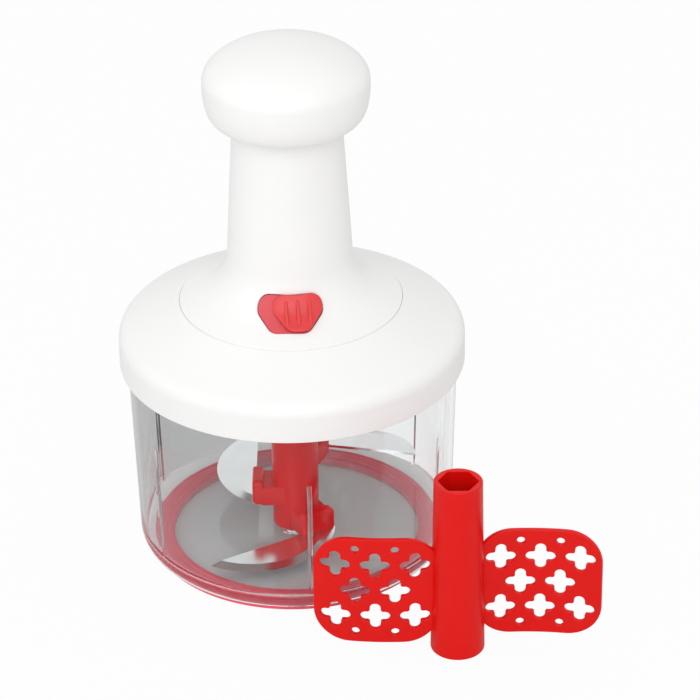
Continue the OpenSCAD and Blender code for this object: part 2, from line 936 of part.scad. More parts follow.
// The twisted rod between two heights, in step with the lead
module twisted(z0, z1, grow = 0) {
    h = z1 - z0;
    turn = 360 / lead;
    step = 6;
    translate([0, 0, z0])
        rotate([0, 0, turn * (z0 - collar_z)])
            linear_extrude(h, twist = -turn * h, slices = ceil(turn * h / step), segments = 8)
                rod_section(grow);
}

module spindle() {
    z0 = cup_z + seat;
    color(STEEL)
        union() {
            translate([-spindle_stub / 2, -spindle_stub / 2, z0])
                cube([spindle_stub, spindle_stub, collar_z - z0 + collar_h / 2]);
            rod(collar_r, collar_z, collar_z + collar_h);
            twisted(collar_z + collar_h / 2, spindle_top);
        }
}

module thrust_washer() {
    color(BRONZE)
        ring(rod_r + rod_room, washer_r, washer_z, washer_z + washer_t);
}

module plunger_tube() {
    top = carrier_top - carrier_step;
    ledge_z = nut_z + nut_h + fit;
    color(WHITE)
        difference() {
            revolve([
                [plunger_in, plunger_z], [flange_r, plunger_z], [flange_r, plunger_z + flange_h],
                [plunger_r, plunger_z + flange_h], [plunger_r, top], [plunger_in - ledge, top],
                [plunger_in - ledge, ledge_z], [plunger_in, ledge_z]
            ]);
            around(2)
                translate([plunger_r - key_d, -key_w / 2, plunger_z + flange_h - gap])
                    cube([key_d + over, key_w, top]);
            around(2, 90)
                translate([plunger_in - over, -key_w / 2, plunger_z - over])
                    cube([key_d + over, key_w, ledge_z - plunger_z + over]);
        }
}

module drive_nut() {
    nut_r = plunger_in - fit;
    color(STEEL)
        difference() {
            union() {
                rod(nut_r, nut_z, nut_z + nut_h);
                around(2, 90)
                    translate([nut_r - over, -key_w / 2 + fit, nut_z])
                        cube([key_d + over - fit, key_w - 2 * fit, nut_h]);
            }
            twisted(nut_z - over, nut_z + nut_h + over, gap);
        }
}

module knob_cap() {
    pillar_out = (knob_screw_at + pillar_r) / knob_r;
    pillar_top = knob_z + (knob_dome - knob_wall / 2) * sqrt(1 - pillar_out * pillar_out);
    color(WHITE)
        difference() {
            union() {
                revolve(concat(knob_face(0), back(knob_face(knob_wall))));
                around(knob_screw_count, 90)
                    translate([knob_screw_at, 0, 0])
                        rod(pillar_r, carrier_top, pillar_top);
            }
            around(knob_screw_count, 90)
                translate([knob_screw_at, 0, 0])
                    rod(screw_r + fit, carrier_top - over, carrier_top + knob_thread + room);
        }
}

module knob_carrier() {
    color(WHITE)
        difference() {
            rod(carrier_r, carrier_z, carrier_top);
            rod(plunger_in - ledge, carrier_z - over, carrier_top + over);
            rod(plunger_r + fit, carrier_z - over, carrier_top - carrier_step);
            around(knob_screw_count, 90)
                translate([knob_screw_at, 0, 0]) {
                    rod(screw_r + fit, carrier_z - over, carrier_top + over);
                    rod(knob_head + fit, carrier_z - over, carrier_z + head_h);
                }
        }
}

module knob_screws() {
    color(STEEL)
        around(knob_screw_count, 90)
            translate([knob_screw_at, 0, carrier_z + head_h])
                screw(carrier_t - head_h + knob_thread, knob_head);
}

// A bowed wing along +X, pierced by plus-shaped and round holes
module wing() {
    bow_r = wing_reach * wing_reach / 8 / wing_bow + wing_bow / 2;
    deep = 2 * wing_bow + 2 * wing_t + 2 * over;
    between = [for (i = [0:plus_count - 2]) plus_first + (i + 0.5) * plus_step];
    plus_at = concat(
        [for (i = [0:plus_count - 1], side = [-1, 1]) [plus_first + i * plus_step, side * plus_rise]],
        [for (x = between) [x, 0]]
    );
    dot_at = [for (x = between, side = [-1, 1]) [x, side * dot_rise]];
    difference() {
        intersection() {
            translate([wing_reach / 2, wing_bow - bow_r, 0])
                ring(bow_r - wing_t / 2, bow_r + wing_t / 2, 0, wing_z + wing_h);
            rotate([90, 0, 0])
                translate([0, 0, -deep / 2])
                    linear_extrude(deep)
                        polygon(wing_outline());
        }
        for (p = plus_at)
            translate([p[0], 0, wing_z + p[1]])
                plus_hole(deep);
        for (p = dot_at)
            translate([p[0], deep / 2, wing_z + p[1]])
                rotate([90, 0, 0])
                    cylinder(h = deep, r = dot_r, $fn = small_fn);
    }
}

// A plus with round ends, cut along Y
module plus_hole(deep) {
    tip = arc([plus_reach - plus_half, 0], plus_half, -60, 60, 4);
    rotate([90, 0, 0])
        translate([0, 0, -deep / 2])
            linear_extrude(deep)
                polygon([
                    for (a = [0:90:270]) each [
                        for (p = concat(tip, [[plus_half, plus_half]]))
                            [p[0] * cos(a) - p[1] * sin(a), p[0] * sin(a) + p[1] * cos(a)]
                    ]
                ]);
}

module mixing_paddle() {
    socket_z = pin_h + room;
    color(RED)
        translate([paddle_x, -paddle_y, 0])
            rotate([0, 0, paddle_turn])
                difference() {
                    union() {
                        revolve([[0, 0], [paddle_r_foot, 0], [paddle_r_top, paddle_h], [0, paddle_h]]);
                        around(2)
                            wing();
                    }
                    hex(socket_af, socket_z, paddle_h + over);
                    rod(pin_r + fit, -over, socket_z + over);
                }
}

bowl();
base_ring();
pivot_pin();
blade_stem();
blade_lower();
blade_middle();
blade_upper();
lid();
lid_seal();
tower();
mechanism_plate();
plate_screws();
shaft_bush();
clutch_cover();
cover_screws();
guide_bush();
lock_frame();
return_spring();
drive_shaft();
pawl_hub();
spindle();
thrust_washer();
plunger_tube();
drive_nut();
knob_cap();
knob_carrier();
knob_screws();
lock_slider();
lock_latch();
mixing_paddle();
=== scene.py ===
"""A hand-press food chopper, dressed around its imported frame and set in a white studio."""

import math

import bmesh
import bpy
import numpy as np
from mathutils import Matrix, Vector
from mathutils.geometry import delaunay_2d_cdt


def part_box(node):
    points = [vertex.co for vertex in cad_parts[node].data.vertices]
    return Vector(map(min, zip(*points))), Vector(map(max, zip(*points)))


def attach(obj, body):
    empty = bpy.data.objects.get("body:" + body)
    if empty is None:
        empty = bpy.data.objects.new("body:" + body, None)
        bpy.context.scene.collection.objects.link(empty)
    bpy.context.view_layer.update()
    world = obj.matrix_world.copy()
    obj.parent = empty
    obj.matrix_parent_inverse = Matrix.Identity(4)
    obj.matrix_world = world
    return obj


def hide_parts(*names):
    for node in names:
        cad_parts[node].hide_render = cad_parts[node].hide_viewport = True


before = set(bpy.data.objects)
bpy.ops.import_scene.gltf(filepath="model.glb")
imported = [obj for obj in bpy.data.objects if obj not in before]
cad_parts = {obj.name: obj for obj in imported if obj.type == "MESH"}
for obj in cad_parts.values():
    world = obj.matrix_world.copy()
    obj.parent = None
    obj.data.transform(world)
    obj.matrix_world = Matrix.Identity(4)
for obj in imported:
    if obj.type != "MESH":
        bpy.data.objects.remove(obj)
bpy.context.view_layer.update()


# Bowl: a clear cup of styrene acrylonitrile, injection moulded with a drafted wall. Six rounded ribs
# stand inside the wall, and a shallow recess under the floor takes the non-slip ring.
def corners(node):
    """Lowest and highest corner of a CAD node at rest, in millimetres."""
    low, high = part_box(node)
    return np.array(low) * 1000, np.array(high) * 1000


def rounded(points, radii, steps=8):
    """An outline with rounded corners. A corner of radius r becomes the arc that touches both its sides,
    centred r / sin(half the corner's angle) along the line that halves the corner. A radius of 0 leaves
    the corner as it is."""
    points = np.asarray(points, float)
    runs = []
    for before, here, after, r in zip(np.roll(points, 1, 0), points, np.roll(points, -1, 0), radii):
        if r == 0:
            runs.append(here[None])
            continue
        u = (before - here) / np.linalg.norm(before - here)
        w = (after - here) / np.linalg.norm(after - here)
        half = np.arccos(np.clip(u @ w, -1, 1)) / 2
        centre = here + (u + w) / np.linalg.norm(u + w) * r / np.sin(half)
        start = here + u * r / np.tan(half) - centre
        end = here + w * r / np.tan(half) - centre
        turn = np.arctan2(start[0] * end[1] - start[1] * end[0], start @ end)
        t = np.linspace(0, turn, steps + 1)[:, None]
        runs.append(centre + np.cos(t) * start + np.sin(t) * np.array([-start[1], start[0]]))
    return np.concatenate(runs)


def spaced(line, step):
    """An open outline whose straight runs are cut into equal lengths of at most one step."""
    counts = np.maximum(1, np.ceil(np.linalg.norm(np.diff(line, axis=0), axis=1) / step)).astype(int)
    runs = [a + (b - a) * np.arange(n)[:, None] / n for a, b, n in zip(line[:-1], line[1:], counts)]
    return np.concatenate(runs + [line[-1:]])


def lathe(profile, turns):
    """Points of a turned surface: (r, z) of the profile goes to (r cos t, r sin t, z) at each angle t.
    The profile is one for all the angles, or an array with one for each."""
    r, z = np.broadcast_to(profile, (len(turns),) + profile.shape[-2:]).transpose(2, 0, 1)
    return np.stack([r * np.cos(turns[:, None]), r * np.sin(turns[:, None]), z], -1)


def skin(grid, ring=False, loop=False):
    """A grid of points as (points, four-sided faces). A ring joins the last row to the first, and a loop
    the last column to the first."""
    rows, columns = grid.shape[:2]
    i, j = np.meshgrid(np.arange(rows - (not ring)), np.arange(columns - (not loop)), indexing="ij")
    below, right = (i + 1) % rows, (j + 1) % columns
    faces = np.stack([i * columns + j, below * columns + j, below * columns + right, i * columns + right], -1)
    return grid.reshape(-1, 3), faces.reshape(-1, 4)


def piece(name, surfaces, sharp=40):
    """One object from surfaces of (points in millimetres, faces). Doubles are merged and normals turned
    outwards, and edges stay sharp past the angle."""
    firsts = np.cumsum([0] + [len(points) for points, _ in surfaces])
    points = np.concatenate([points for points, _ in surfaces]) / 1000
    faces = [face for (_, part), first in zip(surfaces, firsts) for face in (part + first).tolist()]
    mesh = bpy.data.meshes.new(name)
    mesh.from_pydata(points.tolist(), [], faces)
    work = bmesh.new()
    work.from_mesh(mesh)
    bmesh.ops.remove_doubles(work, verts=work.verts, dist=2e-6)
    bmesh.ops.dissolve_degenerate(work, edges=work.edges, dist=1e-6)
    bmesh.ops.recalc_face_normals(work, faces=work.faces)
    work.to_mesh(mesh)
    work.free()
    mesh.shade_smooth()
    mesh.set_sharp_from_angle(angle=math.radians(sharp))
    made = bpy.data.objects.new(name, mesh)
    bpy.context.scene.collection.objects.link(made)
    weigh = made.modifiers.new("Face-weighted normals", "WEIGHTED_NORMAL")
    weigh.keep_sharp = True
    return made


def colour(code):
    """An sRGB hex colour as linear RGBA."""
    value = np.array([int(code[i : i + 2], 16) for i in (1, 3, 5)]) / 255
    linear = np.where(value <= 0.04045, value / 12.92, ((value + 0.055) / 1.055) ** 2.4)
    return (*linear.tolist(), 1.0)


def add(tree, kind, links=(), **settings):
    """Adds a node. The settings are its properties, and the links its inputs: values or other sockets."""
    node = tree.nodes.new(kind)
    for name, value in settings.items():
        setattr(node, name, value)
    for name, value in dict(links).items():
        if isinstance(value, bpy.types.NodeSocket):
            tree.links.new(value, node.inputs[name])
        else:
            node.inputs[name].default_value = value
    return node


def material(name):
    """A new material and its empty node tree."""
    made = bpy.data.materials.new(name)
    made.use_nodes = True
    made.node_tree.nodes.clear()
    return made, made.node_tree


bowl_low, bowl_high = corners("bowl")
ring_low, ring_high = corners("base_ring")
pin_low, pin_high = corners("pivot_pin")
bowl_rim = bowl_high[2]
bowl_draft = np.tan(np.radians(1.7))
bowl_wall = 2.0
floor_top = ring_high[2] + 2.4
foot_round = 8.5
floor_round = 6.5
lip_round = 0.7
pin_boss_r = pin_high[0] + 4.5
fit = 0.05
rib_half, rib_high = 1.15, 0.5
rib_top = 61.5
ribs = np.radians([-84, 36, 156, -147, -27, 93])
full_turn = np.radians(np.arange(0, 360, 2))


def bowl_at(z):
    """Radius of the bowl's outer face at a height."""
    return bowl_high[0] - (bowl_rim - z) * bowl_draft


recess_r = ring_high[0] + fit
foot_centre = np.array([bowl_at(bowl_low[2] + foot_round) - foot_round, bowl_low[2] + foot_round])
foot_turn = np.linspace(-np.arccos((recess_r - foot_centre[0]) / foot_round), 0, 13)
foot_arc = foot_centre + foot_round * np.stack([np.cos(foot_turn), np.sin(foot_turn)], -1)
rib_ledge = rib_top + 0.05
slack = 0.01
bowl_line = rounded(
    [
        [0, bowl_low[2]], [pin_boss_r, bowl_low[2]], [pin_boss_r, ring_high[2]], [recess_r, ring_high[2]],
        *foot_arc,
        [bowl_at(bowl_rim), bowl_rim], [bowl_at(bowl_rim) - bowl_wall, bowl_rim],
        [bowl_at(rib_ledge) - bowl_wall, rib_ledge], [bowl_at(rib_top) - bowl_wall, rib_top],
        [bowl_at(floor_top) - bowl_wall, floor_top],
        [pin_high[0] + fit, floor_top], [pin_high[0] + fit, pin_low[2] - fit], [0, pin_low[2] - fit],
    ],
    [0, 0.4, 0.4, 0, *[0] * len(foot_arc), lip_round, lip_round, 0, 0, floor_round, 0.3, 0, 0],
)
bowl_line = spaced(bowl_line, 6)
inside_r = bowl_at(floor_top) - bowl_wall
rib_steps = rib_half / inside_r * np.linspace(-1, 1, 17)
bowl_turns = np.concatenate([full_turn, (ribs[:, None] + rib_steps).ravel()])
bowl_turns = np.unique(np.round(bowl_turns % (2 * np.pi), 6))
# A rib bulges inwards by its height times cos(pi s / 2 / half its width) squared, where s is the way along
# the wall from the rib's middle.
from_rib = inside_r * np.abs((bowl_turns[:, None] - ribs + np.pi) % (2 * np.pi) - np.pi).min(1)
bulge = rib_high * np.cos(np.pi / 2 * np.minimum(from_rib / rib_half, 1))[:, None] ** 2
line_r, line_z = bowl_line.T
wall_r = bowl_at(line_z) - bowl_wall
in_rib = (line_r < wall_r + slack) & (line_z > floor_top + slack) & (line_z <= rib_top)
bowl_profile = np.repeat(bowl_line[None], len(bowl_turns), 0)
bowl_profile[..., 0] = np.where(in_rib, np.minimum(line_r, wall_r - bulge), line_r)
bowl = piece("bowl_cup", [skin(lathe(bowl_profile, bowl_turns), ring=True)])

# Moulded clear SAN: water-clear with a grey cast through two walls, and a glass-like gloss that soft
# wiping marks break up a little. Its IOR of about 1.57 is brought down to match the object's soft edges.
wipe_size = 18
san_clear, tree = material("SAN moulded clear")
place = add(tree, "ShaderNodeTexCoord").outputs["Object"]
wipe = add(tree, "ShaderNodeTexNoise", {"Vector": place, "Scale": 1000 / wipe_size, "Detail": 3})
haze = add(tree, "ShaderNodeMapRange", {"Value": wipe.outputs["Fac"], "To Min": 0.0, "To Max": 0.03})
body = add(tree, "ShaderNodeBsdfPrincipled", {
    "Base Color": colour("#F7F8F8"), "Roughness": haze.outputs["Result"], "IOR": 1.45,
    "Transmission Weight": 1.0, "Specular Tint": colour("#BCBCBC"),
})
lets_light = add(tree, "ShaderNodeBsdfTransparent", {"Color": colour("#F9FAFA")})
path = add(tree, "ShaderNodeLightPath")
mix = add(tree, "ShaderNodeMixShader", {
    0: path.outputs["Is Shadow Ray"], 1: body.outputs["BSDF"], 2: lets_light.outputs["BSDF"],
})
add(tree, "ShaderNodeOutputMaterial", {"Surface": mix.outputs["Shader"]})
bowl.data.materials.append(san_clear)
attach(bowl, "bowl_unit")
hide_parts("bowl")


# Base ring: a non-slip ring of red silicone rubber, pressed into the recess under the bowl. It clings to the
# clear floor with no air between them, so its red also shows in the bowl's thick lower edge. Two grooves in
# its top face show through the floor.
def moulded(name, light, dark, roughness, mottle, grain, depth, shine=0.5):
    """A moulded plastic or rubber. Its colour and gloss drift between two shades over patches of the
    mottle's size, and a fine grain of the given size and depth, all in mm, breaks up its highlights. Shine
    is the specular level, which deep colours have less of."""
    made, tree = material(name)
    place = add(tree, "ShaderNodeTexCoord").outputs["Object"]
    patches = add(tree, "ShaderNodeTexNoise", {"Vector": place, "Scale": 1000 / mottle, "Detail": 2})
    shade = add(tree, "ShaderNodeMix", {
        0: patches.outputs["Fac"], 6: colour(light), 7: colour(dark),
    }, data_type="RGBA")
    gloss = add(tree, "ShaderNodeMapRange", {
        "Value": patches.outputs["Fac"], "To Min": roughness - 0.05, "To Max": roughness + 0.05,
    })
    grains = add(tree, "ShaderNodeTexNoise", {"Vector": place, "Scale": 1000 / grain, "Detail": 1})
    bump = add(tree, "ShaderNodeBump", {
        "Height": grains.outputs["Fac"], "Distance": depth / 1000, "Strength": 1.0,
    })
    body = add(tree, "ShaderNodeBsdfPrincipled", {
        "Base Color": shade.outputs[2], "Roughness": gloss.outputs["Result"],
        "Normal": bump.outputs["Normal"], "IOR": 1.5, "Specular IOR Level": shine,
    })
    add(tree, "ShaderNodeOutputMaterial", {"Surface": body.outputs["BSDF"]})
    return made


ring_cling = 0.03
ring_top = ring_high[2] + ring_cling
ring_w = 8.9
ring_in = ring_high[0] - ring_w
groove_w, groove_d = 0.8, 0.5
ring_line = [[ring_in, ring_low[2]], [ring_high[0], ring_low[2]], [ring_high[0], ring_top]]
for share in (0.75, 0.25):
    r = ring_in + share * ring_w
    ring_line += [[r + groove_w, ring_top], [r + groove_w, ring_top - groove_d]]
    ring_line += [[r, ring_top - groove_d], [r, ring_top]]
ring_line.append([ring_in, ring_top])
ring_line = rounded(ring_line, [0.5, 0.5, 0.2] + [0.15] * 8 + [0.2], 3)
ring = piece("base_ring_rubber", [skin(lathe(ring_line, full_turn), ring=True, loop=True)])
# Painted light: both pinks are lighter than the rubber's own red, to make up for the shade that the lid and
# the bowl's floor cast on the ring.
silicone = moulded("Silicone rubber moulded red", "#FF6277", "#F85A6F", 0.42, 9, 0.6, 0.01, 0.3)
ring.data.materials.append(silicone)
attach(ring, "bowl_unit")
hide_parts("base_ring")


# Pivot pin: a plated steel pin pressed into the boss in the bowl's floor. The stem turns on it.
def metal(name, light, dark, roughness, along, across, depth):
    """A worked metal. Its marks are a noise drawn out in Z, with the given length along Z and width across
    it, in mm, and they carry the drift of colour and gloss and a bump of the given depth in mm."""
    made, tree = material(name)
    place = add(tree, "ShaderNodeTexCoord").outputs["Object"]
    stretched = add(tree, "ShaderNodeMapping", {
        "Vector": place, "Scale": (1000 / across, 1000 / across, 1000 / along),
    })
    marks = add(tree, "ShaderNodeTexNoise", {
        "Vector": stretched.outputs["Vector"], "Scale": 1.0, "Detail": 3,
    })
    shade = add(tree, "ShaderNodeMix", {
        0: marks.outputs["Fac"], 6: colour(light), 7: colour(dark),
    }, data_type="RGBA")
    gloss = add(tree, "ShaderNodeMapRange", {
        "Value": marks.outputs["Fac"], "To Min": roughness - 0.07, "To Max": roughness + 0.07,
    })
    bump = add(tree, "ShaderNodeBump", {
        "Height": marks.outputs["Fac"], "Distance": depth / 1000, "Strength": 1.0,
    })
    body = add(tree, "ShaderNodeBsdfPrincipled", {
        "Base Color": shade.outputs[2], "Metallic": 1.0, "Roughness": gloss.outputs["Result"],
        "Normal": bump.outputs["Normal"],
    })
    add(tree, "ShaderNodeOutputMaterial", {"Surface": body.outputs["BSDF"]})
    return made


def dress(made, *nodes):
    """Gives CAD nodes a material in every slot."""
    for node in nodes:
        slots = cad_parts[node].data.materials
        slots.clear()
        slots.append(made)


plated = metal("Steel turned and zinc plated", "#C9CBCC", "#AEB1B3", 0.3, 0.3, 3, 0.002)
dress(plated, "pivot_pin")


# Blade stem: a red ABS tube that drops onto the pin, with a six-sided socket for the drive shaft in its
# top. Three arms carry the blades at three heights.
def hex_r(turns, across):
    """Radius of a hexagon with corners at 0, 60, 120 degrees and so on: half its width across the flats,
    over the cosine of the angle from the nearest flat's middle."""
    return across / 2 / np.cos((turns % (np.pi / 3)) - np.pi / 6)


def inside(points, loops):
    """Which points lie inside the loops: a ray to the right crosses their sides an odd number of times."""
    a = np.concatenate(loops)
    b = np.concatenate([np.roll(loop, -1, 0) for loop in loops])
    x, y = points[:, :1], points[:, 1:]
    rise = np.where(b[:, 1] == a[:, 1], 1, b[:, 1] - a[:, 1])
    crossing = a[:, 0] + (y - a[:, 1]) * (b[:, 0] - a[:, 0]) / rise
    return (((a[:, 1] > y) != (b[:, 1] > y)) & (x < crossing)).sum(1) % 2 == 1


def filled(loops, step, merge=1e-5, sliver=1e-6):
    """Flat triangles between an outer loop and the holes in it: the Delaunay triangles of the loops and of
    a square lattice inside them, one step apart and half a step off the loops. Points nearer than the merge
    length are joined, and slivers of less than the given area, along straight sides, are left out."""
    border = np.concatenate(loops)
    axes = [np.arange(low + step / 2, high, step) for low, high in zip(border.min(0), border.max(0))]
    lattice = np.stack(np.meshgrid(*axes), -1).reshape(-1, 2)
    lattice = lattice[inside(lattice, loops)]
    off_loops = np.linalg.norm(lattice[:, None] - border, axis=2).min(1, initial=np.inf)
    points = np.concatenate([border, lattice[off_loops > step / 2]])
    firsts = np.cumsum([0] + [len(loop) for loop in loops])
    runs = [np.arange(a, b) for a, b in zip(firsts[:-1], firsts[1:])]
    sides = np.concatenate([np.stack([run, np.roll(run, -1)], -1) for run in runs])
    made = delaunay_2d_cdt(points.tolist(), sides.tolist(), [], 0, merge)
    points, triangles = np.array(made[0]), np.array(made[2])
    a, b, c = points[triangles].transpose(1, 0, 2)
    area = np.abs((b - a)[:, 0] * (c - a)[:, 1] - (b - a)[:, 1] * (c - a)[:, 0]) / 2
    return points, triangles[inside((a + b + c) / 3, loops) & (area > sliver)]


def drawn(loop, d):
    """A loop with each side moved d to its left. A corner between sides with normals n and m moves by
    d (n + m) / (1 + n . m)."""
    along = np.roll(loop, -1, 0) - loop
    normal = np.stack([-along[:, 1], along[:, 0]], -1) / np.linalg.norm(along, axis=1)[:, None]
    before = np.roll(normal, 1, 0)
    return loop + d * (normal + before) / (1 + (normal * before).sum(1))[:, None]


def plate(loops, thick, edge, step, put):
    """Surfaces of a plate with rounded edges. Its material lies left of its loops, so the outline runs
    counter-clockwise and the holes clockwise. At angle a of the rounding, the loops are drawn in by
    edge (1 - sin a), at a height of thick / 2 - edge (1 - cos a). put carries (x, y, height) to its place."""
    def at(flat, h):
        return np.column_stack([flat, np.full(len(flat), h)])

    a = np.linspace(0, np.pi / 2, 5)
    side = np.repeat([1, -1], len(a))
    a = np.concatenate([a, a[::-1]])
    height = (thick / 2 - edge * (1 - np.cos(a))) * side
    rims = [
        np.stack([at(drawn(loop, edge * (1 - np.sin(t))), h) for t, h in zip(a, height)])
        for loop in loops
    ]
    flat, triangles = filled([drawn(loop, edge) for loop in loops], step)
    faces = [(put(at(flat, h)), triangles) for h in (thick / 2, -thick / 2)]
    return [skin(put(rim), loop=True) for rim in rims] + faces


def spaced_loop(line, step):
    """A closed outline cut into lengths of at most one step."""
    return spaced(np.concatenate([line, line[:1]]), step)[:-1]


def box_loop(low, high, r):
    """A rectangle with rounded corners, counter-clockwise."""
    (x0, y0), (x1, y1) = low, high
    return rounded([[x0, y0], [x1, y0], [x1, y1], [x0, y1]], [r] * 4, 4)


stem_low, stem_high = corners("blade_stem")
stem_r = 9.6
stem_round = 0.75
socket_across, socket_blunt, socket_lip = 14.0, 0.97, 0.35
socket_floor = stem_high[2] - 24.0
bore_r = pin_high[0] + fit
bore_top = pin_high[2] + 1.0
arm_out, arm_thick = 17.8, 4.6
arm_at = arm_thick / 2 - arm_out
arm_front, arm_back = -8.5, 6.5
arm_middle = (arm_front + arm_back) / 2
arm_round, arm_edge = 2.4, 1.1
arm_drop, arm_rise, web_drop = 1.5, 10.0, 2.6
blade_z = np.array([8.3, 19.0, 31.0])
blade_turn = np.radians([120, 0, -120])
hex_turns = np.round(np.radians(np.arange(0, 360, 3)), 9)


def socketed(low, high, foot_r, top_r, floor, turns, foot_round, bore, bore_top):
    """Profiles of a stem with a bore in its foot and a six-sided socket in its top, one for each angle. The
    socket's side follows the hexagon's radius, with blunted corners, and its mouth has a small rounding."""
    mouth = np.minimum(hex_r(turns, socket_across), socket_blunt * hex_r(0, socket_across))
    outer = rounded(
        [[0, bore_top], [bore, bore_top], [bore, low], [foot_r, low], [top_r, high], [0, high]],
        [0, 0, 0.3, foot_round, 0.5, 0], 6,
    )[:-1]
    outer = spaced(outer, 6)
    a = np.linspace(0, np.pi / 2, 5)
    lip, drop = socket_lip * np.sin(a), socket_lip * (1 - np.cos(a))
    rim = np.stack(np.broadcast_arrays(mouth[:, None] + socket_lip - lip, high - drop), -1)
    bottom = np.stack([np.stack([mouth, np.full(len(turns), floor)], -1),
                       np.broadcast_to([0.0, floor], (len(turns), 2))], 1)
    return np.concatenate([np.broadcast_to(outer, (len(turns),) + outer.shape), rim, bottom], 1)


def turned(points, angle):
    """Points turned about Z."""
    c, s = np.cos(angle), np.sin(angle)
    return points @ np.array([[c, s, 0], [-s, c, 0], [0, 0, 1]])


tube = socketed(
    stem_low[2], stem_high[2], stem_r, stem_r, socket_floor, hex_turns, stem_round, bore_r, bore_top
)
stem_parts = [skin(lathe(tube, hex_turns), ring=True)]
for z, angle in zip(blade_z, blade_turn):
    low, high = z - arm_drop, z + arm_rise
    stem_parts += plate(
        [box_loop((arm_front, low), (arm_back, high), arm_round)], arm_thick, edge=arm_edge, step=3,
        put=lambda p: turned(np.stack([p[..., 2] + arm_at, p[..., 0], p[..., 1]], -1), angle),
    )
    stem_parts += plate(
        [box_loop((arm_at, low), (0, high - web_drop), arm_round)],
        arm_back - arm_front, edge=arm_edge, step=3,
        put=lambda p: turned(np.stack([p[..., 0], p[..., 2] + arm_middle, p[..., 1]], -1), angle),
    )
stem = piece("blade_stem_moulding", stem_parts)
# Painted light: this red is a little lighter than the moulding's own, to make up for the shade under the lid.
red_abs = moulded("ABS moulded red", "#E81C20", "#DE1619", 0.3, 14, 0.9, 0.004, 0.25)
stem.data.materials.append(red_abs)
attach(stem, "blade_unit")
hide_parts("blade_stem")

# Blades: half-moons stamped from stainless steel sheet, each with a ground bevel along its curved edge
# and its straight back moulded into one of the stem's arms.
blade_t, edge_t = 1.2, 0.25
blade_r, bevel = 33.5, 4.0
blade_lead, blade_off = 20.0, 16.6
blade_lean = np.radians([0, 0, 11])
arc_points = 97


def half_moon(z, angle, lean):
    """The blade as a closed section carried along its arc: straight back, bevel's start, cutting edge and
    flat underside. Arc points are (-r cos t, lead + r sin t), up to where the arc meets the back."""
    share = np.linspace(-1, 1, arc_points)
    inner = np.arccos(blade_off / (blade_r - bevel)) * share
    outer = np.arccos(blade_off / blade_r) * share
    ridge = np.stack([-(blade_r - bevel) * np.cos(inner), (blade_r - bevel) * np.sin(inner)], -1)
    edge = np.stack([-blade_r * np.cos(outer), blade_r * np.sin(outer)], -1)
    back = np.stack([np.full(arc_points, -blade_off), ridge[:, 1]], -1)
    rows = [(back, 0), (back, blade_t), (ridge, blade_t), (edge, edge_t), (edge, 0)]
    grid = np.stack([np.column_stack([xy, np.full(arc_points, h)]) for xy, h in rows], 1)
    grid[..., 1] += blade_lead - arm_front
    c, s = np.cos(lean), np.sin(lean)
    grid = grid @ np.array([[1, 0, 0], [0, c, s], [0, -s, c]]) + [0, arm_front, z]
    points, faces = skin(turned(grid, angle), loop=True)
    ends = np.arange(len(points)).reshape(arc_points, -1)[[0, -1]]
    return [(points, faces), (points, ends)]


# Painted light: these greys are lighter than stainless steel's own, standing in for the bright reflections
# the blades catch under the lid.
ground = metal("Stainless steel brushed", "#ECEDEE", "#E2E4E5", 0.16, 0.5, 14, 0.003)
for name, z, angle, lean in zip(("lower", "middle", "upper"), blade_z, blade_turn, blade_lean):
    blade = piece(f"blade_{name}_steel", half_moon(z, angle, lean), sharp=12)
    blade.data.materials.append(ground)
    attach(blade, "blade_unit")
    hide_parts(f"blade_{name}")

# Lid: a white ABS cover with a rounded rim and a shallow cone, moulded with a skirt outside the bowl's lip
# and a plug wall inside it. A fine groove parts it from the tower.
lid_low, lid_high = corners("lid")
tower_low, tower_high = corners("tower")
seal_low, seal_high = corners("lid_seal")
lid_r = lid_high[0]
lid_wall = 2.4
lid_slope = np.radians(26.3)
lid_rise = 3.55
tower_r = 45.0
tower_z = bowl_rim + lid_rise + (lid_r - tower_r) * np.tan(lid_slope)


def lid_top(r):
    """Height of the lid's cone at a radius."""
    return tower_z - (r - tower_r) * np.tan(lid_slope)


flange_top = tower_low[2]
plate_top = flange_top - lid_wall
lid_edge = tower_r + fit
seam_w, seam_d = 0.25, 0.35
slant = lid_wall / np.cos(lid_slope)
under_r = tower_r + (tower_z - plate_top - slant) / np.tan(lid_slope)
lid_hole = 39.5
skirt_gap, lip_gap = 0.45, 0.2
skirt_in = bowl_high[0] + skirt_gap
channel_z = bowl_rim + lip_gap
plug_r, plug_wall, plug_deep = 63.5, 2.0, 8.0
plug_in = plug_r - plug_wall
plug_z = bowl_rim - plug_deep
seal_d = 1.0
lid_line = rounded(
    [
        [lid_r, lid_low[2]], [lid_r, lid_top(lid_r)], [lid_edge + seam_w, lid_top(lid_edge + seam_w)],
        [lid_edge, lid_top(lid_edge) - seam_d], [lid_edge, flange_top], [lid_hole, flange_top],
        [lid_hole, plate_top], [under_r, plate_top],
        [plug_in, lid_top(plug_in) - slant], [plug_in, plug_z], [plug_r, plug_z],
        [plug_r, seal_low[2]], [plug_r - seal_d, seal_low[2]], [plug_r - seal_d, seal_high[2]],
        [plug_r, seal_high[2]], [plug_r, channel_z], [skirt_in, channel_z], [skirt_in, lid_low[2]],
    ],
    [0.6, 7, 0.15, 0, 0, 0, 0.3, 1, 1, 0.5, 0.5, 0.2, 0, 0, 0.2, 0.8, 0.8, 0.6],
)
lid_line = spaced_loop(lid_line, 5)
fine_turn = np.radians(np.arange(0, 360, 1.5))
lid = piece("lid_cover", [skin(lathe(lid_line, fine_turn), ring=True, loop=True)])
white_abs = moulded("ABS moulded white", "#F5F5F4", "#F1F1F0", 0.45, 25, 1.2, 0.003)
lid.data.materials.append(white_abs)
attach(lid, "lid_unit")
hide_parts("lid")

